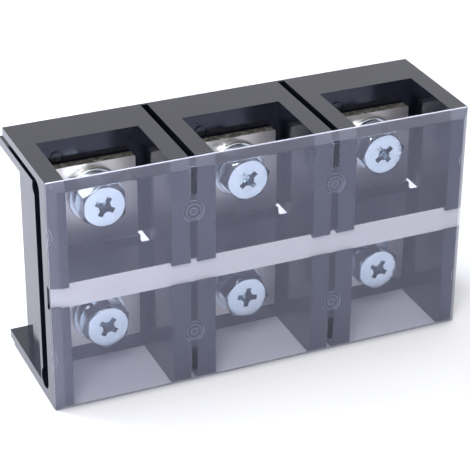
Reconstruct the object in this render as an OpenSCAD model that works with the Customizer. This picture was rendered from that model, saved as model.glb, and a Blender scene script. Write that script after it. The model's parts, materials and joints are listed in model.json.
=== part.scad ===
// Three-pole barrier terminal strip: a one-piece moulded base, three conductor
// bars, six hexagon-head terminal screws with captive washers, a slide-in
// marking strip and a clear front cover.
//
// Frame: the strip stands on its lower wire-entry side. X runs along the
// strip, the cover faces -Y, the mounting back faces +Y and Z is up. The
// origin is the centre of the underside.

/* [Base moulding] */
// Distance between neighbouring poles
pole_pitch = 46; // [44:0.5:52]
// Width of each pole's wiring cavity
cavity_w = 32; // [30:0.5:34]
// Width of the barrier slot between two poles
slot_w = 2.2; // [1.8:0.1:3]
// Wall between the outer cavities and the ends of the base
end_wall = 5.75; // [5.5:0.25:9]
// Height of the base
base_h = 76; // [72:1:84]
// Depth of the base from its front face to its mounting back
base_d = 43.6; // [41:0.2:50]
// Depth of the cavities from the front face to the wall behind the bars
cavity_d = 25.2; // [24:0.1:27]
// Thickness of the wall behind the bars
back_wall = 3.2; // [2.5:0.1:4]
// Depth of the front frame, which the barrier slots cut right through
frame_d = 12.2; // [11.5:0.1:13]
// Thickness of the web that closes each barrier slot at the rear
slot_web = 2.3; // [1.8:0.1:3]
// Thickness of the cavity walls behind the front frame
side_wall = 2.75; // [2.25:0.05:3.25]
// Thickness of the top plate
top_plate_t = 7.4; // [6.5:0.1:9]
// Thickness of the bottom plate
foot_t = 3.8; // [3.4:0.1:5]
// Distance by which the outer lips stop short of the mounting back
lip_setback = 3.9; // [3:0.1:5]
// Thickness of the upper outer lip
top_lip_t = 2.5; // [2:0.1:3]
// Thickness of the lower outer lip
foot_lip_t = 1.1; // [0.8:0.1:1.5]
// Depth of the barrier slots below the top face
slot_top_d = 5; // [4:0.5:6]
// Thickness of the wall that closes each barrier slot at the rear of the top
slot_end_t = 0.9; // [0.6:0.1:2]
// Diameter of the round bosses that bridge the barrier slots
boss_d = 6.6; // [6:0.2:8]
// Diameter of the ring sunk into the middle of each boss
boss_ring_d = 4; // [3:0.1:4.5]
// Width of the line of a sunk ring
ring_w = 0.5; // [0.3:0.05:0.6]
// Depth of a sunk ring
ring_depth = 0.5; // [0.2:0.05:0.6]
// Diameter of the ejector pin's mark on the rear wall of a cavity
pin_mark_d = 4.4; // [3:0.1:5]
// Distance of that mark to the left of the pole's centre
pin_mark_x = 9.9; // [8:0.1:12]
// Distance of that mark below the top face
pin_mark_drop = 5.7; // [4:0.1:6.5]

/* [End groove] */
// Width of the groove's upright leg
groove_front_w = 4.9; // [4:0.1:5.5]
// Width of the groove's upper leg
groove_top_w = 2; // [1.5:0.1:2.5]
// Width of the face left in front of the upright leg
groove_margin = 5; // [4.5:0.1:5.2]
// Height of the groove's closed lower end
groove_foot = 3.1; // [2.5:0.1:5]
// Radius of the groove's outer corners
groove_r = 3.2; // [2:0.1:4]
// Depth of the groove into the end face
groove_d = 3; // [2:0.1:4]

/* [Centre shelf and strip seat] */
// Thickness of the shelf between the upper and the lower terminals
shelf_t = 6.4; // [5:0.2:8]
// Depth of the seat that is cut across the wall fronts for the strip
seat_d = 2.1; // [2:0.1:3]
// Thickness of the lips that hold the strip in its seat
seat_lip_t = 1.2; // [0.6:0.1:1.2]
// Overlap of those lips on the strip
seat_lip = 0.2; // [0.15:0.05:0.5]
// Height by which the shelf's rear rail stands above and below the shelf
rail_h = 1.6; // [1:0.1:2]
// Thickness of the rail in front of the bar
rail_t = 1.5; // [1:0.1:2]
// Distance by which the corner window reaches forward of the rear wall
window_d = 6.7; // [5:0.1:8]

/* [Conductor bars] */
// Width of a bar
bar_w = 27; // [24:0.5:27]
// Thickness of a bar
bar_t = 3; // [2.6:0.1:3.4]
// Length of a bar
bar_l = 61; // [58:0.2:66]
// Rounding of a bar's sheared corners
bar_r = 0.6; // [0.3:0.1:1.5]
// Height of the pad on the rear wall that a bar rests on
pad_t = 0.8; // [0.5:0.1:0.9]
// Distance by which the pad stays inside a bar's outline
pad_inset = 3; // [2:0.5:6]

/* [Terminal screws] */
// Nominal thread diameter
screw_d = 8; // [8:8]
// Thread pitch
screw_pitch = 1.25; // [1.25:1.25]
// Width across the flats of the head
head_af = 13; // [12:0.5:14]
// Height of the head
head_h = 5.3; // [4.8:0.1:5.6]
// Diameter of the head's flat top inside its chamfer
head_face_d = 12.3; // [11.4:0.1:13]
// Shank length under the head
shank_l = 12; // [11:0.5:14]
// Distance between the upper and the lower screws
screw_spread = 41; // [40:0.2:44]
// Outer diameter of the flat washer
flat_washer_d = 17; // [16:0.5:18]
// Thickness of the flat washer
flat_washer_t = 1.6; // [1.4:0.1:1.8]
// Outer diameter of the spring washer
spring_washer_d = 14.8; // [13.6:0.1:15.4]
// Thickness of the flattened spring washer
spring_washer_t = 2; // [1.6:0.1:2.2]
// Width across the arms of the cross recess
recess_d = 6.5; // [6:0.1:7.4]
// Width of an arm of the cross recess
recess_arm = 1.7; // [1.5:0.1:2]
// Width of the cross recess's round middle at its mouth
recess_core = 3.8; // [3:0.1:4.4]
// Depth of the cross recess
recess_depth = 3.2; // [2.6:0.1:3.6]

/* [Bar fixing screws] */
// Nominal thread diameter
fixing_d = 4; // [4:4]
// Head diameter
fixing_head_d = 8; // [7:0.2:8.4]
// Head height
fixing_head_h = 2.6; // [2.2:0.1:3]
// Shank length
fixing_l = 6.5; // [5.5:0.1:6.6]

/* [Marking strip] */
// Height of the strip
strip_h = 7.5; // [7:0.1:9]
// Thickness of the strip
strip_t = 0.7; // [0.5:0.1:0.7]
// Distance by which each end of the strip stops short of the base
strip_end_gap = 0.8; // [0.2:0.1:1.5]

/* [Cover] */
// Thickness of the cover
cover_t = 3.2; // [3:0.1:4]
// Width of the bevel round the cover's front
cover_bevel = 2.5; // [1.5:0.1:2.8]
// Depth to which the cover's tongues reach into the barrier slots
tongue_d = 7; // [5:0.5:9]
// Height of each tongue
tongue_h = 8; // [6:0.5:8]
// Distance between the upper and the lower tongues' centres
tongue_spread = 60; // [58:1:62]

/* [Fits] */
// Gap between the cover and the base
cover_gap = 0.1; // [0.05:0.05:0.2]
// Clearance on each side of a piece that slides in a slot
slide_gap = 0.1; // [0.08:0.01:0.15]
// Radial clearance of a shank in its threaded hole
thread_gap = 0.05; // [0.03:0.01:0.08]
// Radial clearance of a shank in its washers
washer_gap = 0.1; // [0.08:0.01:0.15]
// Radial clearance of a shank in the wall behind the bar
pass_gap = 0.5; // [0.4:0.05:0.6]

/* [Hidden] */

$fn = 64;
eps = 1;                // how far a cut runs past the face it opens

poles = 3;
base_w = (poles - 1) * pole_pitch + cavity_w + 2 * end_wall;
mid_z = base_h / 2;

// Depths are laid out from the front face of the base, at front_y.
front_y = (cover_t + cover_gap - base_d) / 2;
back_y = front_y + base_d;
wall_y = front_y + cavity_d;
bar_back_y = wall_y - pad_t;
bar_front_y = bar_back_y - bar_t;
flat_washer_y = bar_front_y - flat_washer_t;
spring_washer_y = flat_washer_y - spring_washer_t;
head_y = spring_washer_y - head_h;

shelf_top = mid_z + shelf_t / 2;
screw_hole_d = screw_d + 2 * pass_gap;
fixing_hole_d = fixing_d + 2 * pass_gap;

// How far each screw was turned when it came tight, by pole.
upper_clock = [30, 50, 52];
lower_clock = [36, 10, 32];

function pole_x(pole) = (pole - (poles + 1) / 2) * pole_pitch;
function screw_z(side) = mid_z + side * screw_spread / 2;

// ---------------------------------------------------------------- helpers

// Extrudes a side profile, drawn with depth along X and height along Y,
// over the length from x0 to x1.
module along_x(x0, x1) {
    translate([x0, 0, 0]) rotate([90, 0, 90]) linear_extrude(x1 - x0) children();
}

// Box between two corners.
module span(low, high) {
    translate(low) cube(high - low);
}

// Round bar along Y from y0 to y1.
module round_y(x, z, d, y0, y1) {
    translate([x, y1, z]) rotate([90, 0, 0]) cylinder(d = d, h = y1 - y0);
}

// Rectangle with rounded corners, centred.
module rounded_rect(w, h, r) {
    square([w - 2 * r, h], center = true);
    square([w, h - 2 * r], center = true);
    for (sx = [-1, 1], sy = [-1, 1])
        translate([sx * (w / 2 - r), sy * (h / 2 - r)]) circle(r);
}

// -------------------------------------------------------------- base body

// Side profile of the base that runs through from end to end: the front
// frame, the top plate and the bottom plate with their stepped outer lips.
module base_profile() {
    translate([front_y, 0]) square([frame_d, base_h]);
    // top plate and its lip
    translate([front_y, base_h - top_plate_t])
        square([base_d, top_plate_t - top_lip_t]);
    translate([front_y, base_h - top_lip_t]) square([base_d - lip_setback, top_lip_t]);
    // bottom plate and its lip
    translate([front_y, foot_lip_t]) square([base_d, foot_t - foot_lip_t]);
    translate([front_y, 0]) square([base_d - lip_setback, foot_lip_t]);
}

// Angled groove of the end faces: an upright leg behind the front edge that
// turns under the top lip and runs out through the back.
module groove_profile() {
    y0 = front_y + groove_margin;
    y1 = y0 + groove_front_w;
    z1 = base_h - top_lip_t;
    for (z = [groove_foot + groove_r, z1 - groove_r])
        translate([y0 + groove_r, z]) circle(groove_r);
    translate([y0, groove_foot + groove_r])
        square([groove_front_w, z1 - groove_foot - 2 * groove_r]);
    translate([y0 + groove_r, groove_foot]) square([y1 - y0 - groove_r, z1 - groove_foot]);
    translate([y0 + groove_r, z1 - groove_top_w])
        square([back_y + eps - y0 - groove_r, groove_top_w]);
}

// One pole's walls behind the front frame: the cavity's side and rear walls,
// and the narrower box that carries them back to the mounting plane.
module pole_walls(x) {
    low = foot_t / 2 + foot_lip_t / 2;
    high = base_h - top_plate_t / 2;
    outer = cavity_w / 2 + side_wall;
    span([x - outer, front_y + frame_d - eps, low],
         [x + outer, wall_y + back_wall, high]);
    span([x - cavity_w / 2, wall_y, low], [x + cavity_w / 2, back_y, high]);
}

// Space of one pole: the wiring cavity, open to the front, top and bottom,
// and the moulding core behind the rear wall, open to the back.
module pole_spaces(x) {
    inner = cavity_w / 2;
    core = inner - side_wall;
    span([x - inner, front_y - eps, -eps], [x + inner, wall_y, base_h + eps]);
    span([x - core, wall_y + back_wall, foot_t],
         [x + core, back_y + eps, base_h - top_plate_t]);
}

// Shelf between the upper and the lower terminals, with the rail that holds
// the bar against the rear wall.
module shelf(x) {
    inner = cavity_w / 2 + eps;
    bar_slot = bar_w / 2 + slide_gap;
    rail_y = bar_front_y - slide_gap;
    difference() {
        union() {
            span([x - inner, front_y + seat_d, mid_z - shelf_t / 2],
                 [x + inner, wall_y + eps, shelf_top]);
            span([x - bar_slot, rail_y - rail_t, mid_z - shelf_t / 2 - rail_h],
                 [x + bar_slot, rail_y, shelf_top + rail_h]);
        }
        span([x - bar_slot, rail_y, 0], [x + bar_slot, wall_y, base_h]);
    }
}

// Raised pad on the rear wall that keeps a bar's edges clear of the wall.
module bar_pad(x) {
    half_w = bar_w / 2 - pad_inset;
    half_l = bar_l / 2 - pad_inset;
    span([x - half_w, bar_back_y, mid_z - half_l], [x + half_w, wall_y + eps, mid_z + half_l]);
}

// Window at the rear corner of a shelf: as high as the shelf and cored from
// the back, it opens past the bar and through the walls beside the pole.
module window(x) {
    span([x + bar_w / 2 + slide_gap, wall_y - window_d, mid_z - shelf_t / 2],
         [x + cavity_w / 2 + side_wall + eps, back_y + eps, shelf_top]);
}

// Shallow ring sunk into a face that looks forward, at depth y.
module sunk_ring(x, y, z, d) {
    difference() {
        round_y(x, z, d, y - eps, y + ring_depth);
        round_y(x, z, d - 2 * ring_w, y - 2 * eps, y + ring_depth + eps);
    }
}

// Seat for the marking strip, cut across every wall and open at both ends.
module strip_seat() {
    half = strip_h / 2 + slide_gap;
    throat = strip_h / 2 - seat_lip;
    along_x(-base_w / 2 - eps, base_w / 2 + eps) {
        translate([front_y + seat_lip_t, mid_z - half]) square([seat_d - seat_lip_t, 2 * half]);
        translate([front_y - eps, mid_z - throat]) square([seat_d + eps, 2 * throat]);
    }
}

// Barrier slot between two poles: through the whole height of the front
// frame, on as a groove along the underside to the back, and as a deeper
// groove along the top to the thin wall that closes it behind the upper lip.
module barrier_slot(x) {
    frame_y = front_y + frame_d;
    span([x - slot_w / 2, front_y - eps, -eps], [x + slot_w / 2, frame_y, base_h + eps]);
    span([x - slot_w / 2, frame_y - eps, -eps], [x + slot_w / 2, back_y + eps, foot_lip_t]);
    span([x - slot_w / 2, frame_y - eps, base_h - slot_top_d],
         [x + slot_w / 2, back_y - lip_setback - slot_end_t, base_h + eps]);
}

// Web between two poles that closes the barrier slot at the rear.
module slot_closure(x) {
    half_w = (pole_pitch - cavity_w) / 2;
    span([x - half_w, front_y + frame_d - eps, foot_lip_t],
         [x + half_w, front_y + frame_d + slot_web, base_h - top_plate_t / 2]);
}

// Round boss that bridges a barrier slot.
module boss(x, z) {
    round_y(x, z, boss_d, front_y, front_y + frame_d + eps);
}

module body() {
    slots = [for (i = [1 : poles - 1]) (pole_x(i) + pole_x(i + 1)) / 2];
    color([0.10, 0.10, 0.12]) {
        difference() {
            union() {
                difference() {
                    union() {
                        along_x(-base_w / 2, base_w / 2) base_profile();
                        for (i = [1 : poles]) pole_walls(pole_x(i));
                        for (x = slots) slot_closure(x);
                    }
                    for (i = [1 : poles]) pole_spaces(pole_x(i));
                    for (x = slots) barrier_slot(x);
                }
                for (i = [1 : poles]) {
                    shelf(pole_x(i));
                    bar_pad(pole_x(i));
                }
                for (x = slots, side = [-1, 1]) boss(x, screw_z(side));
            }
            strip_seat();
            for (x = slots, side = [-1, 1], d = [boss_d, boss_ring_d])
                sunk_ring(x, front_y, screw_z(side), d);
            for (i = [1 : poles]) {
                window(pole_x(i));
                sunk_ring(pole_x(i) - pin_mark_x, wall_y, base_h - pin_mark_drop, pin_mark_d);
                for (side = [-1, 1])
                    round_y(pole_x(i), screw_z(side), screw_hole_d,
                            bar_back_y - eps, wall_y + back_wall + eps);
                round_y(pole_x(i), mid_z, fixing_hole_d,
                        bar_back_y - eps, wall_y + back_wall + eps);
            }
            for (side = [-1, 1]) {
                x = side * base_w / 2;
                along_x(min(x, x - side * groove_d) - eps * (1 - side) / 2,
                        max(x, x - side * groove_d) + eps * (1 + side) / 2)
                    groove_profile();
            }
        }
    }
}

// ---------------------------------------------------------- conductor bar

module bar(pole) {
    x = pole_x(pole);
    color([0.80, 0.77, 0.72])
    difference() {
        translate([x, bar_back_y, mid_z]) rotate([90, 0, 0])
            linear_extrude(bar_t) rounded_rect(bar_w, bar_l, bar_r);
        for (side = [-1, 1])
            round_y(x, screw_z(side), screw_d + 2 * thread_gap,
                    bar_front_y - eps, bar_back_y + eps);
        round_y(x, mid_z, fixing_d + 2 * thread_gap, bar_front_y - eps, bar_back_y + eps);
    }
}

// Pan-head screw that holds a bar from behind.
module bar_fixing_screw(pole) {
    x = pole_x(pole);
    seat_y = wall_y + back_wall;
    drive_r = fixing_head_d * 0.27;
    drive_w = 1;
    drive_depth = 1.4;
    color([0.75, 0.77, 0.80])
    difference() {
        union() {
            round_y(x, mid_z, fixing_d, seat_y - fixing_l, seat_y + eps / 2);
            translate([x, seat_y, mid_z]) rotate([-90, 0, 0]) {
                cylinder(d = fixing_head_d, h = fixing_head_h * 0.6);
                translate([0, 0, fixing_head_h * 0.6])
                    cylinder(d1 = fixing_head_d, d2 = fixing_head_d * 0.72, h = fixing_head_h * 0.4);
            }
        }
        for (turn = [0, 90])
            translate([x, seat_y + fixing_head_h, mid_z]) rotate([0, turn, 0])
                cube([2 * drive_r, 2 * drive_depth, drive_w], center = true);
    }
}

// -------------------------------------------------------- terminal screws

// Cross recess that narrows towards its bottom, with its mouth at z = 0 and
// its bottom at -recess_depth.
module cross_recess() {
    tip = 0.62;           // share of the mouth's size left at the bottom
    for (turn = [0, 90]) rotate([0, 0, turn])
        rotate([90, 0, 0]) translate([0, 0, -recess_arm / 2])
            linear_extrude(recess_arm)
                polygon([[-recess_d / 2, eps], [recess_d / 2, eps], [recess_d / 2, 0],
                         [recess_d / 2 * tip, -recess_depth],
                         [-recess_d / 2 * tip, -recess_depth], [-recess_d / 2, 0]]);
    translate([0, 0, -recess_depth])
        cylinder(d1 = recess_arm, d2 = recess_core, h = recess_depth);
    cylinder(d = recess_core, h = eps);
}

// Hexagon-head screw with a chamfered head and a cross recess.
module terminal_screw(pole, side) {
    clock = side > 0 ? upper_clock[pole - 1] : lower_clock[pole - 1];
    chamfer_h = (head_af / cos(30) - head_face_d) / 2 * tan(30);
    point_h = 0.75 * screw_pitch;
    color([0.78, 0.83, 0.88])
    translate([pole_x(pole), head_y + head_h, screw_z(side)]) rotate([90, clock, 0])
    difference() {
        union() {
            intersection() {
                cylinder(d = head_af / cos(30), h = head_h, $fn = 6);
                union() {
                    cylinder(d = head_af / cos(30) + 1, h = head_h - chamfer_h);
                    translate([0, 0, head_h - chamfer_h])
                        cylinder(d1 = head_af / cos(30), d2 = head_face_d, h = chamfer_h);
                }
            }
            translate([0, 0, point_h - shank_l])
                cylinder(d = screw_d, h = shank_l - point_h + eps / 2);
            translate([0, 0, -shank_l])
                cylinder(d1 = screw_d - 2 * point_h, d2 = screw_d, h = point_h);
        }
        translate([0, 0, head_h]) cross_recess();
    }
}

// Split spring washer, drawn flat as it is under a tight screw.
module spring_washer(pole, side) {
    split_w = 0.8;
    color([0.74, 0.79, 0.84])
    translate([pole_x(pole), spring_washer_y + spring_washer_t, screw_z(side)])
    rotate([90, 0, 0])
    difference() {
        cylinder(d = spring_washer_d, h = spring_washer_t);
        translate([0, 0, -eps])
            cylinder(d = screw_d + 2 * washer_gap, h = spring_washer_t + 2 * eps);
        rotate([20, 0, 130]) translate([0, -split_w / 2, -2 * spring_washer_t])
            cube([spring_washer_d, split_w, 4 * spring_washer_t]);
    }
}

module flat_washer(pole, side) {
    color([0.76, 0.81, 0.86])
    translate([pole_x(pole), flat_washer_y + flat_washer_t, screw_z(side)])
    rotate([90, 0, 0])
    difference() {
        cylinder(d = flat_washer_d, h = flat_washer_t);
        translate([0, 0, -eps])
            cylinder(d = screw_d + 2 * washer_gap, h = flat_washer_t + 2 * eps);
    }
}

// ---------------------------------------------------------- marking strip

module marking_strip() {
    y0 = front_y + seat_lip_t + slide_gap;
    half_l = base_w / 2 - strip_end_gap;
    color([0.86, 0.85, 0.87])
    translate([0, y0 + strip_t, mid_z]) rotate([90, 0, 0])
        linear_extrude(strip_t) rounded_rect(2 * half_l, strip_h, 0.4);
}

// ------------------------------------------------------------------ cover

// Clear plate with a bevelled front and tongues that enter the barrier slots.
module cover() {
    color([0.45, 0.46, 0.55, 0.5]) {
        cover_plate();
        for (i = [1 : poles - 1], side = [-1, 1]) {
            x = (pole_x(i) + pole_x(i + 1)) / 2;
            z = mid_z + side * tongue_spread / 2;
            half_w = slot_w / 2 - slide_gap;
            span([x - half_w, front_y - cover_gap - eps / 2, z - tongue_h / 2],
                 [x + half_w, front_y + tongue_d, z + tongue_h / 2]);
        }
    }
}

// Plate whose front edges are planed off at 45 degrees on all four sides.
module cover_plate() {
    y_back = front_y - cover_gap;
    y_front = y_back - cover_t;
    difference() {
        span([-base_w / 2, y_front, 0], [base_w / 2, y_back, base_h]);
        for (side = [-1, 1]) {
            translate([side * base_w / 2, y_front, mid_z]) rotate([0, 0, 45])
                cube([sqrt(2) * cover_bevel, sqrt(2) * cover_bevel, base_h + 2 * eps],
                     center = true);
            translate([0, y_front, mid_z + side * base_h / 2]) rotate([45, 0, 0])
                cube([base_w + 2 * eps, sqrt(2) * cover_bevel, sqrt(2) * cover_bevel],
                     center = true);
        }
    }
}

// ------------------------------------------------------------------ nodes

body();
cover();
marking_strip();
bar(1);  // bar_1
bar(2);  // bar_2
bar(3);  // bar_3
bar_fixing_screw(1);  // bar_fixing_screw_1
bar_fixing_screw(2);  // bar_fixing_screw_2
bar_fixing_screw(3);  // bar_fixing_screw_3
terminal_screw(1, 1);  // terminal_screw_1_upper
terminal_screw(2, 1);  // terminal_screw_2_upper
terminal_screw(3, 1);  // terminal_screw_3_upper
terminal_screw(1, -1);  // terminal_screw_1_lower
terminal_screw(2, -1);  // terminal_screw_2_lower
terminal_screw(3, -1);  // terminal_screw_3_lower
spring_washer(1, 1);  // spring_washer_1_upper
spring_washer(2, 1);  // spring_washer_2_upper
spring_washer(3, 1);  // spring_washer_3_upper
spring_washer(1, -1);  // spring_washer_1_lower
spring_washer(2, -1);  // spring_washer_2_lower
spring_washer(3, -1);  // spring_washer_3_lower
flat_washer(1, 1);  // flat_washer_1_upper
flat_washer(2, 1);  // flat_washer_2_upper
flat_washer(3, 1);  // flat_washer_3_upper
flat_washer(1, -1);  // flat_washer_1_lower
flat_washer(2, -1);  // flat_washer_2_lower
flat_washer(3, -1);  // flat_washer_3_lower
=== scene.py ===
"""Looks for the three-pole barrier terminal strip: materials, rounded edges,
threaded screws, camera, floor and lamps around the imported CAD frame."""
import json
import math

import bmesh
import bpy
from mathutils import Matrix, Vector

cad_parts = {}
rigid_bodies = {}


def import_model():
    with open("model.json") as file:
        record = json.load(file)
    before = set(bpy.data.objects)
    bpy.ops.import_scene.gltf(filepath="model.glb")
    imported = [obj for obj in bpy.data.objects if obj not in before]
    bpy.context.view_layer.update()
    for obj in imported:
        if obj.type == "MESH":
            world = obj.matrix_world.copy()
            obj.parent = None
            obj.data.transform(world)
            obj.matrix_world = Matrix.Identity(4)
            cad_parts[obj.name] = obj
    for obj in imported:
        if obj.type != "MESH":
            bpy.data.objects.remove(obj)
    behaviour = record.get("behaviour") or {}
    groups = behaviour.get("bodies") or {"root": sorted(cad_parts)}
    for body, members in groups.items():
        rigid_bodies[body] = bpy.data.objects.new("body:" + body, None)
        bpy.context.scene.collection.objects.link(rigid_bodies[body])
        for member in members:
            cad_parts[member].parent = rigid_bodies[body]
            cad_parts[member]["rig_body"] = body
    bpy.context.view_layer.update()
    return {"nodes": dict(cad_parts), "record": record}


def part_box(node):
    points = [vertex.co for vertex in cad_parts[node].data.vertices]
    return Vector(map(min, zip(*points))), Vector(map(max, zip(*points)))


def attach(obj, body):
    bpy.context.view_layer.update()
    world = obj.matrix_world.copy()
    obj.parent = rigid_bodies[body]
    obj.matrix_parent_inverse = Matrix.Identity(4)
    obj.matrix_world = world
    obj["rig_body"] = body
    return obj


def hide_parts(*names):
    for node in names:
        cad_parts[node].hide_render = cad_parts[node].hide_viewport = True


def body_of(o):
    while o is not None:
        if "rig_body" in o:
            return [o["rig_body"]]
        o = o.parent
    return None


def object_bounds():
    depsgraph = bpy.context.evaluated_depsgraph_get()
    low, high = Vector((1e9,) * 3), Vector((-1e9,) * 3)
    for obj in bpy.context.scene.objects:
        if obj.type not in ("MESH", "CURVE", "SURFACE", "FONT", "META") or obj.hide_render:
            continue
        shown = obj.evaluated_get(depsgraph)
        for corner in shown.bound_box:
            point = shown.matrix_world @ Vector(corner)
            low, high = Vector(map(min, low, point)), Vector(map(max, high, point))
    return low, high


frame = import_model()

NODES = frame["nodes"]
RECORD = frame["record"]
MM = 0.001


# ------------------------------------------------- places, read off the frame

def axis_of(name):
    """X and Z of a round node's axis."""
    a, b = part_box(name)
    return (a[0] + b[0]) / 2, (a[2] + b[2]) / 2


PITCH = axis_of("flat_washer_2_upper")[0] - axis_of("flat_washer_1_upper")[0]     # pole to pole
SPREAD = axis_of("flat_washer_1_upper")[1] - axis_of("flat_washer_1_lower")[1]    # screw to screw
MID_Z = axis_of("flat_washer_1_lower")[1] + SPREAD / 2
HEAD_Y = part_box("terminal_screw_1_upper")[0][1]        # faces of the screw heads
FRONT_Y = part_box("body")[0][1]                         # front of the base
COVER_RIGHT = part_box("cover")[1][0]
COVER_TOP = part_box("cover")[1][2]


# --------------------------------------------------------------- node helpers

def node(tree, kind, **settings):
    n = tree.nodes.new(kind)
    for name, value in settings.items():
        setattr(n, name, value)
    return n


def feed(tree, value, socket):
    """Link a socket to the input, or set the input to a plain value."""
    if isinstance(value, bpy.types.NodeSocket):
        tree.links.new(value, socket)
    else:
        socket.default_value = value


def new_material(name):
    m = bpy.data.materials.new(name)
    m.use_nodes = True
    m.node_tree.nodes.clear()
    return m, m.node_tree


def shader(tree, kind, **inputs):
    """A shader node, with underscores for the spaces in its inputs' names."""
    n = node(tree, kind)
    for name, value in inputs.items():
        feed(tree, value, n.inputs[name.replace("_", " ")])
    return n.outputs[0]


def mix_shaders(tree, fac, a, b):
    n = node(tree, "ShaderNodeMixShader")
    for value, socket in zip((fac, a, b), n.inputs):
        feed(tree, value, socket)
    return n.outputs[0]


def show(tree, surface, kind="ShaderNodeOutputMaterial"):
    tree.links.new(surface, node(tree, kind).inputs["Surface"])


def calc(tree, operation, *values, clamp=False):
    n = node(tree, "ShaderNodeMath", operation=operation, use_clamp=clamp)
    for value, socket in zip(values, n.inputs):
        feed(tree, value, socket)
    return n.outputs[0]


def largest(tree, first, *others):
    for other in others:
        first = calc(tree, "MAXIMUM", first, other)
    return first


def coordinates(tree, scale=(1, 1, 1)):
    mapping = node(tree, "ShaderNodeMapping")
    mapping.inputs["Scale"].default_value = scale
    tree.links.new(node(tree, "ShaderNodeTexCoord").outputs["Object"], mapping.inputs["Vector"])
    return mapping.outputs[0]


def split(tree, vector):
    n = node(tree, "ShaderNodeSeparateXYZ")
    tree.links.new(vector, n.inputs[0])
    return n.outputs["X"], n.outputs["Y"], n.outputs["Z"]


def normal(tree):
    return split(tree, node(tree, "ShaderNodeNewGeometry").outputs["Normal"])


def noise(tree, vector, scale, detail, roughness):
    n = node(tree, "ShaderNodeTexNoise")
    n.inputs["Scale"].default_value = scale
    n.inputs["Detail"].default_value = detail
    n.inputs["Roughness"].default_value = roughness
    tree.links.new(vector, n.inputs["Vector"])
    return n.outputs["Fac"]


def ramp(tree, fac, stops):
    r = node(tree, "ShaderNodeValToRGB")
    elements = r.color_ramp.elements
    while len(elements) < len(stops):
        elements.new(0.5)
    for i, (position, colour) in enumerate(stops):
        elements[i].position = position
        elements[i].color = (*colour, 1)
    tree.links.new(fac, r.inputs["Fac"])
    return r.outputs["Color"]


def remap(tree, value, a, b, lo, hi):
    """lo where the value is a or beyond, hi where it is b or beyond."""
    n = node(tree, "ShaderNodeMapRange")
    n.inputs["From Min"].default_value = a
    n.inputs["From Max"].default_value = b
    n.inputs["To Min"].default_value = lo
    n.inputs["To Max"].default_value = hi
    tree.links.new(value, n.inputs["Value"])
    return n.outputs["Result"]


def bump(tree, height, strength, distance, under=None):
    b = node(tree, "ShaderNodeBump")
    b.inputs["Strength"].default_value = strength
    b.inputs["Distance"].default_value = distance
    tree.links.new(height, b.inputs["Height"])
    if under is not None:
        tree.links.new(under, b.inputs["Normal"])
    return b.outputs["Normal"]


def mix_colour(tree, fac, a, b):
    m = node(tree, "ShaderNodeMix", data_type="RGBA")
    for index, value in ((0, fac), (6, a), (7, b)):
        feed(tree, value, m.inputs[index])
    return m.outputs[2]


def axis_distance(tree, x, z, shift):
    """Distance from the nearest screw axis, with the grid moved by shift in X."""
    wrapped = calc(tree, "WRAP", x, shift + PITCH / 2, shift - PITCH / 2)
    level = calc(tree, "ABSOLUTE", calc(tree, "SUBTRACT", z, MID_Z))
    flat = node(tree, "ShaderNodeCombineXYZ")
    feed(tree, calc(tree, "SUBTRACT", wrapped, shift), flat.inputs[0])
    feed(tree, calc(tree, "SUBTRACT", level, SPREAD / 2), flat.inputs[1])
    radius = node(tree, "ShaderNodeVectorMath", operation="LENGTH")
    tree.links.new(flat.outputs[0], radius.inputs[0])
    return radius.outputs["Value"]


# ------------------------------------------------------------------ materials

# The rings in the bosses' faces, from the middle out to RING_REACH: share of
# the reach and height of the relief. Only the highest parts get a painted highlight.
RING_REACH = 4 * MM
RING_RELIEF = ((0.0, 0.5), (0.20, 0.5), (0.28, 1.0), (0.37, 0.1), (0.50, 0.1),
               (0.58, 1.0), (0.66, 0.2), (0.74, 0.2), (0.81, 1.0), (0.90, 0.5))
RING_DEPTH = 0.3 * MM


def moulding_material():
    """Black moulded plastic: glossy skin with a faint grain, slightly paler,
    duller patches, and bumped rings on the bosses with a painted highlight on their raised edges."""
    m, t = new_material("black_moulding")
    v = coordinates(t)
    x, y, z = split(t, v)
    broad = noise(t, v, 38, 4, 0.6)
    fine = noise(t, v, 1500, 2, 0.5)
    grain = noise(t, coordinates(t, (1, 1, 0.4)), 240, 3, 0.6)
    black = ramp(t, broad, [(0.32, (0.003, 0.0033, 0.006)), (0.7, (0.006, 0.0066, 0.012))])
    reach = remap(t, axis_distance(t, x, z, PITCH / 2), 0, RING_REACH, 0, 1)
    relief = ramp(t, reach, [(at, (high, high, high)) for at, high in RING_RELIEF])
    front = remap(t, y, FRONT_Y + 0.7 * MM, FRONT_Y + 0.8 * MM, 1, 0)
    height = calc(t, "MULTIPLY", relief, front)
    # painted highlight: the highest parts of the rings on the front face are paled towards grey-blue
    ring_highlight = remap(t, height, 0.7, 1.0, 0, 1)
    show(t, shader(
        t, "ShaderNodeBsdfPrincipled", IOR=1.6, Specular_Tint=(0.80, 0.83, 1.0, 1),
        Base_Color=mix_colour(t, ring_highlight, black, (0.46, 0.48, 0.56, 1)),
        Roughness=remap(t, grain, 0.3, 0.7, 0.12, 0.2),
        Normal=bump(t, height, 1.0, RING_DEPTH, bump(t, fine, 0.03, 0.02 * MM))))
    return m


# shares of the cover's surface that scatter light: everywhere, at the top and
# bottom edges, and at the sawn sides
HAZE, EDGE_FROST, SAWN_FROST = 0.045, 0.26, 0.6


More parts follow.
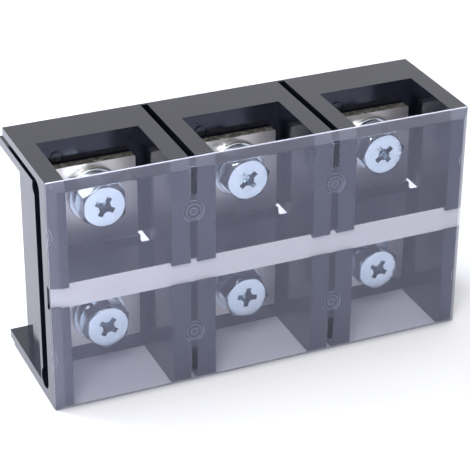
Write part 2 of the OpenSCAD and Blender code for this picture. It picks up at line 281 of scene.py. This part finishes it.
def cover_material():
    """Clear smoky plastic with a lilac haze, pale edges above and below and
    dark sawn sides. Lamps and bounced light pass straight through it."""
    m, t = new_material("smoky_cover")
    v = coordinates(t)
    x, _, z = split(t, v)
    half_h = COVER_TOP - MID_Z
    level = calc(t, "ABSOLUTE", calc(t, "SUBTRACT", z, MID_Z))
    sawn = remap(t, calc(t, "ABSOLUTE", x), COVER_RIGHT - 0.2 * MM, COVER_RIGHT - 0.1 * MM, 0, 1)
    frost = largest(t, remap(t, sawn, 0, 1, HAZE, SAWN_FROST),
                    remap(t, level, half_h - 0.2 * MM, half_h - 0.1 * MM, HAZE, EDGE_FROST))
    rim = remap(t, frost, HAZE, EDGE_FROST, 0, 1)
    smoke = ramp(t, noise(t, v, 30, 3, 0.5), [(0.3, (0.44, 0.46, 0.72)), (0.7, (0.52, 0.54, 0.80))])
    pale = mix_colour(t, rim, smoke, (0.54, 0.53, 0.72, 1))
    haze = shader(t, "ShaderNodeBsdfDiffuse", Color=mix_colour(t, sawn, pale, (0.09, 0.09, 0.12, 1)))
    clear = shader(t, "ShaderNodeBsdfPrincipled", Base_Color=(0.93, 0.945, 0.985, 1),
                   Transmission_Weight=1.0, IOR=1.47, Specular_Tint=(0.70, 0.72, 0.86, 1),
                   Roughness=0.0)
    path = node(t, "ShaderNodeLightPath").outputs
    mirrored = calc(t, "SUBTRACT", path["Is Glossy Ray"], path["Is Transmission Ray"], clamp=True)
    straight = largest(t, path["Is Shadow Ray"], path["Is Diffuse Ray"], mirrored)
    passing = mix_colour(t, mirrored, (0.70, 0.70, 0.74, 1), (0.90, 0.91, 0.96, 1))
    through = shader(t, "ShaderNodeBsdfTransparent", Color=passing)
    show(t, mix_shaders(t, straight, mix_shaders(t, frost, clear, haze), through))
    return m


def strip_material():
    """Off-white matt strip with a faint grain along its length."""
    m, t = new_material("white_strip")
    streak = noise(t, coordinates(t, (0.08, 1, 1)), 520, 3, 0.6)
    broad = noise(t, coordinates(t), 26, 3, 0.5)
    base = ramp(t, broad, [(0.3, (0.86, 0.845, 0.83)), (0.7, (0.92, 0.905, 0.89))])
    greyed = remap(t, streak, 0.35, 0.75, 0.0, 0.35)
    show(t, shader(
        t, "ShaderNodeBsdfPrincipled", Roughness=0.55,
        Base_Color=mix_colour(t, greyed, base, (0.78, 0.765, 0.755, 1)),
        Normal=bump(t, streak, 0.15, 0.05 * MM)))
    return m


def nickel_material():
    """Nickel-plated bar: satin rolled faces with streaks along its length,
    and rough, mottled sheared ends."""
    m, t = new_material("nickel_bar")
    streak = noise(t, coordinates(t, (1, 1, 0.05)), 420, 3, 0.5)
    broad = noise(t, coordinates(t), 70, 3, 0.5)
    speck = noise(t, coordinates(t), 850, 5, 0.7)
    face = ramp(t, broad, [(0.3, (0.58, 0.545, 0.51)), (0.7, (0.68, 0.645, 0.61))])
    ends = ramp(t, speck, [(0.40, (0.10, 0.095, 0.085)), (0.55, (0.26, 0.245, 0.21)),
                           (0.70, (0.62, 0.61, 0.53))])
    at_end = remap(t, calc(t, "ABSOLUTE", normal(t)[2]), 0.6, 0.9, 0, 1)
    satin = remap(t, streak, 0.3, 0.7, 0.28, 0.34)
    show(t, shader(
        t, "ShaderNodeBsdfPrincipled", Metallic=1.0,
        Base_Color=mix_colour(t, at_end, face, ends),
        Roughness=calc(t, "MULTIPLY_ADD", at_end, 0.2, satin),
        Normal=bump(t, calc(t, "MULTIPLY", speck, at_end), 0.3, 0.08 * MM)))
    return m


def zinc_material(name, light, dark, lo, hi, shade_paint=None):
    """Zinc plating: bright and bluish, with cloudy roughness and fine specks.
    An optional last argument paints shade onto the plating's colour."""
    m, t = new_material(name)
    cloud = noise(t, coordinates(t), 330, 4, 0.65)
    speck = noise(t, coordinates(t), 2600, 2, 0.5)
    plated = ramp(t, cloud, [(0.3, dark), (0.72, light)])
    show(t, shader(
        t, "ShaderNodeBsdfPrincipled", Metallic=1.0,
        Base_Color=shade_paint(t, plated) if shade_paint else plated,
        Roughness=remap(t, cloud, 0.3, 0.7, lo, hi),
        Normal=bump(t, speck, 0.12, 0.03 * MM)))
    return m


CHAMFER_TILT = math.radians(30)      # the heads' turned chamfer, off their face
RECESS_R = 3.6 * MM


def head_shade_paint(tree, plated):
    """Colour of a head: bright plated disc, painted shade on the turned chamfer, mottled painted
    shade in the recess.
    """
    tilt = calc(tree, "ABSOLUTE", normal(tree)[1])
    off = calc(tree, "ABSOLUTE", calc(tree, "SUBTRACT", tilt, math.cos(CHAMFER_TILT)))
    chamfer = remap(tree, off, 0.02, 0.08, 1, 0)
    x, y, z = split(tree, coordinates(tree))
    near_axis = remap(tree, axis_distance(tree, x, z, 0.0),
                      RECESS_R - 0.1 * MM, RECESS_R + 0.1 * MM, 1, 0)
    sunk = remap(tree, y, HEAD_Y + 0.05 * MM, HEAD_Y + 0.4 * MM, 0, 1)
    # painted shade in the recess: darker blue-grey, mottled lighter and darker
    recess_mottle = noise(tree, coordinates(tree), 620, 2, 0.5)
    recess_shade = ramp(tree, recess_mottle, [(0.44, (0.13, 0.17, 0.20)), (0.56, (0.56, 0.66, 0.70))])
    # painted shade: the turned chamfer, picked out by its tilt, is darkened to blue-grey
    chamfer_shaded = mix_colour(tree, chamfer, plated, (0.26, 0.31, 0.34, 1))
    return mix_colour(tree, calc(tree, "MULTIPLY", near_axis, sunk), chamfer_shaded, recess_shade)


MAT = {
    "moulding": moulding_material(),
    "smoky_clear": cover_material(),
    "label_white": strip_material(),
    "nickel_bar": nickel_material(),
    "zinc_steel": zinc_material("zinc_heads", (0.70, 0.78, 0.82), (0.58, 0.67, 0.74),
                                0.12, 0.24, head_shade_paint),
    "washer_steel": zinc_material("zinc_washers", (0.70, 0.74, 0.77), (0.50, 0.55, 0.60), 0.14, 0.26),
    "fixing_steel": zinc_material("zinc_fixings", (0.70, 0.72, 0.74), (0.50, 0.53, 0.56), 0.25, 0.4),
}


# --------------------------------------------- the CAD nodes: paint and edges

SLOT_OF = {s["node"]: s["material_slot"] for s in RECORD["subparts"]}
# radii of the edges by slot; the terminal screws' heads get theirs in screw_piece
EDGE = {"moulding": 0.22 * MM, "smoky_clear": 0.18 * MM, "label_white": 0.08 * MM,
        "nickel_bar": 0.2 * MM, "washer_steel": 0.15 * MM, "fixing_steel": 0.1 * MM}
HEAD_EDGE = 0.16 * MM


def paint(obj, mat):
    obj.data.materials.clear()
    obj.data.materials.append(mat)


def round_edges(obj, width, angle=35):
    """Round the edges sharper than the angle, in degrees, and keep faces flat."""
    weld = obj.modifiers.new("join", "WELD")
    weld.merge_threshold = 0.001 * MM
    bevel = obj.modifiers.new("edge_round", "BEVEL")
    bevel.width = width
    bevel.segments = 2
    bevel.limit_method = "ANGLE"
    bevel.angle_limit = math.radians(angle)
    bevel.use_clamp_overlap = True
    flat = obj.modifiers.new("flat_faces", "WEIGHTED_NORMAL")
    flat.keep_sharp = False
    flat.weight = 100


for name, obj in NODES.items():
    paint(obj, MAT[SLOT_OF[name]])
    if SLOT_OF[name] in EDGE:
        round_edges(obj, EDGE[SLOT_OF[name]])


# ----------------------------------------------------------- threaded screws

THREAD_R = 4.0 * MM              # M8
ROOT_R = 3.42 * MM
THREAD_PITCH = 1.25 * MM
ROOT_FLAT, FLANK = 0.08, 0.8     # of the thread's tooth, as shares of its height
RUN_OUT = 0.6 * THREAD_PITCH     # length over which the thread fades under the head
NECK_R = 0.97 * THREAD_R
POINT = 0.9 * MM                 # chamfer at the shank's end
ROWS_PER_PITCH = 8
STEPS = 24                       # corners of the shank's round


def thread_radius(z, turn, length):
    """Radius at height z, from 0 down to -length, and at a share of a turn."""
    phase = (z / THREAD_PITCH - turn) % 1.0
    tooth = (1 - abs(2 * phase - 1) - ROOT_FLAT) / FLANK
    cut = ROOT_R + (THREAD_R - ROOT_R) * min(1.0, max(0.0, tooth))
    fade = min(1.0, -z / RUN_OUT)
    point = max(0.0, POINT - (length + z))
    return min(NECK_R * (1 - fade) + cut * fade, THREAD_R - point)


def threaded_shank(length):
    """Closed mesh of a threaded shank from z = 0 down to z = -length."""
    rows = int(length / THREAD_PITCH * ROWS_PER_PITCH) + 1
    bm = bmesh.new()
    rings = []
    for row in range(rows + 1):
        z = -length * row / rows
        ring = []
        for step in range(STEPS):
            angle = 2 * math.pi * step / STEPS
            r = thread_radius(z, step / STEPS, length)
            ring.append(bm.verts.new((r * math.cos(angle), r * math.sin(angle), z)))
        rings.append(ring)
    for upper, lower in zip(rings, rings[1:]):
        for k in range(STEPS):
            j = (k + 1) % STEPS
            bm.faces.new((upper[k], lower[k], lower[j], upper[j]))
    bm.faces.new(rings[0])
    bm.faces.new(list(reversed(rings[-1])))
    bmesh.ops.recalc_face_normals(bm, faces=bm.faces)
    return bm


def head_of(cad, underside):
    """Copy of a CAD screw's head: everything in front of the underside."""
    bm = bmesh.new()
    bm.from_mesh(cad.data)
    bmesh.ops.remove_doubles(bm, verts=bm.verts, dist=0.0001 * MM)
    geom = bm.verts[:] + bm.edges[:] + bm.faces[:]
    cut = bmesh.ops.bisect_plane(bm, geom=geom, plane_co=(0, underside - 0.002 * MM, 0),
                                 plane_no=(0, 1, 0), clear_outer=True)
    edges = [e for e in cut["geom_cut"] if isinstance(e, bmesh.types.BMEdge)]
    bmesh.ops.holes_fill(bm, edges=edges, sides=0)
    bmesh.ops.recalc_face_normals(bm, faces=bm.faces)
    return bm


def new_object(name, bm):
    mesh = bpy.data.meshes.new(name)
    bm.to_mesh(mesh)
    obj = bpy.data.objects.new(name, mesh)
    bpy.context.scene.collection.objects.link(obj)
    return obj


def screw_piece(name):
    """Put a head and a threaded shank in the place of a CAD terminal screw."""
    cad = NODES[name]
    place = name.removeprefix("terminal_screw_")
    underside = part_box("spring_washer_" + place)[0][1]
    x, z = axis_of("flat_washer_" + place)
    shank = threaded_shank(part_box(name)[1][1] - underside)
    # the shank's own z points out of the head, along -Y
    along = Matrix.Translation((x, underside, z)) @ Matrix.Rotation(math.radians(90), 4, "X")
    bmesh.ops.transform(shank, matrix=along, verts=shank.verts)
    head_obj = new_object("screw_head_" + place, head_of(cad, underside))
    shank_obj = new_object("screw_thread_" + place, shank)
    for piece in (head_obj, shank_obj):
        paint(piece, MAT["zinc_steel"])
        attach(piece, body_of(cad)[0])
    round_edges(head_obj, HEAD_EDGE, 32)
    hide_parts(name)
    for face in shank_obj.data.polygons:
        face.use_smooth = True


for name in sorted(NODES):
    if name.startswith("terminal_screw_"):
        screw_piece(name)


# ------------------------------------------------------- camera, floor, lamps

lo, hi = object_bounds()
centre = (lo + hi) / 2

AZIMUTH, ELEVATION, ROLL = math.radians(-23.65), math.radians(28.34), math.radians(0.42)
AIM = centre + Vector((-0.0102, -0.0227, 0.0112))
DISTANCE = 0.5495
SENSOR, LENS = 36, 141.909           # mm


def set_camera():
    back = Vector((math.sin(AZIMUTH) * math.cos(ELEVATION),
                   -math.cos(AZIMUTH) * math.cos(ELEVATION), math.sin(ELEVATION)))
    level = Vector((0, 0, 1)).cross(back).normalized()
    upright = back.cross(level)
    right = level * math.cos(ROLL) + upright * math.sin(ROLL)
    up = upright * math.cos(ROLL) - level * math.sin(ROLL)
    cam = bpy.data.objects.new("camera", bpy.data.cameras.new("camera"))
    cam.data.sensor_width = SENSOR
    cam.data.lens = LENS
    cam.data.shift_x = -0.0011915
    cam.data.shift_y = -0.0034043
    cam.data.clip_start = 0.01
    cam.data.clip_end = 20
    turn = Matrix((right, up, back)).transposed().to_4x4()
    cam.matrix_world = Matrix.Translation(AIM + back * DISTANCE) @ turn
    bpy.context.scene.collection.objects.link(cam)
    bpy.context.scene.camera = cam


FLOOR_HALF = 4.0
FLOOR_Z = -0.2 * MM                  # a hair below the part, so that they don't flicker


def make_floor():
    """Pale matt floor, which keeps the object's soft shadow."""
    m, t = new_material("pale_floor")
    show(t, shader(t, "ShaderNodeBsdfDiffuse", Color=(0.84, 0.84, 0.86, 1)))
    mesh = bpy.data.meshes.new("floor")
    corners = [(x * FLOOR_HALF, y * FLOOR_HALF, FLOOR_Z)
               for x, y in ((-1, -1), (1, -1), (1, 1), (-1, 1))]
    mesh.from_pydata(corners, [], [(0, 1, 2, 3)])
    floor = bpy.data.objects.new("floor", mesh)
    bpy.context.scene.collection.objects.link(floor)
    paint(floor, m)


def make_world():
    """White studio to the camera, in reflections and through the cover, and
    plain soft light on the object. Its front is dark in reflections only."""
    w = bpy.data.worlds.new("studio")
    bpy.context.scene.world = w
    w.use_nodes = True
    t = w.node_tree
    t.nodes.clear()
    path = node(t, "ShaderNodeLightPath").outputs
    seen = largest(t, path["Is Camera Ray"], path["Is Glossy Ray"], path["Is Transmission Ray"])
    facing = node(t, "ShaderNodeVectorMath", operation="DOT_PRODUCT")
    t.links.new(node(t, "ShaderNodeTexCoord").outputs["Generated"], facing.inputs[0])
    facing.inputs[1].default_value = (0.0, -0.93, 0.36)
    front = remap(t, facing.outputs["Value"], 0.74, 0.88, 0.0, 1.0)
    dark = calc(t, "MULTIPLY", front, path["Is Glossy Ray"])
    white = shader(t, "ShaderNodeBackground", Strength=1.0,
                   Color=mix_colour(t, dark, (1, 1, 1, 1), (0.04, 0.04, 0.05, 1)))
    ambient = shader(t, "ShaderNodeBackground", Strength=0.4, Color=(0.97, 0.98, 1, 1))
    show(t, mix_shaders(t, seen, ambient, white), "ShaderNodeOutputWorld")


def softbox(name, at, size, watts, aim=centre, colour=(1, 1, 1)):
    lamp = bpy.data.lights.new(name, "AREA")
    lamp.shape = "RECTANGLE"
    lamp.size, lamp.size_y = size
    lamp.energy = watts
    lamp.color = colour
    obj = bpy.data.objects.new(name, lamp)
    bpy.context.scene.collection.objects.link(obj)
    obj.location = at
    obj.rotation_mode = "QUATERNION"
    obj.rotation_quaternion = (Vector(aim) - Vector(at)).to_track_quat("-Z", "Y")


set_camera()
make_floor()
make_world()
softbox("key", (-0.35, -0.60, 0.70), (0.5, 0.5), 7.5)
softbox("top", (0.06, 0.05, 0.85), (0.7, 0.6), 2.6)
softbox("left", (-0.8, 0.35, 0.22), (1.3, 0.4), 6.0, colour=(0.84, 0.87, 1.0))
softbox("floor_wash", (-0.38, 0.42, 0.30), (0.3, 0.3), 4.0, (-0.14, 0.12, 0.0), (0.82, 0.85, 1.0))

bpy.context.scene.view_settings.view_transform = "Standard"
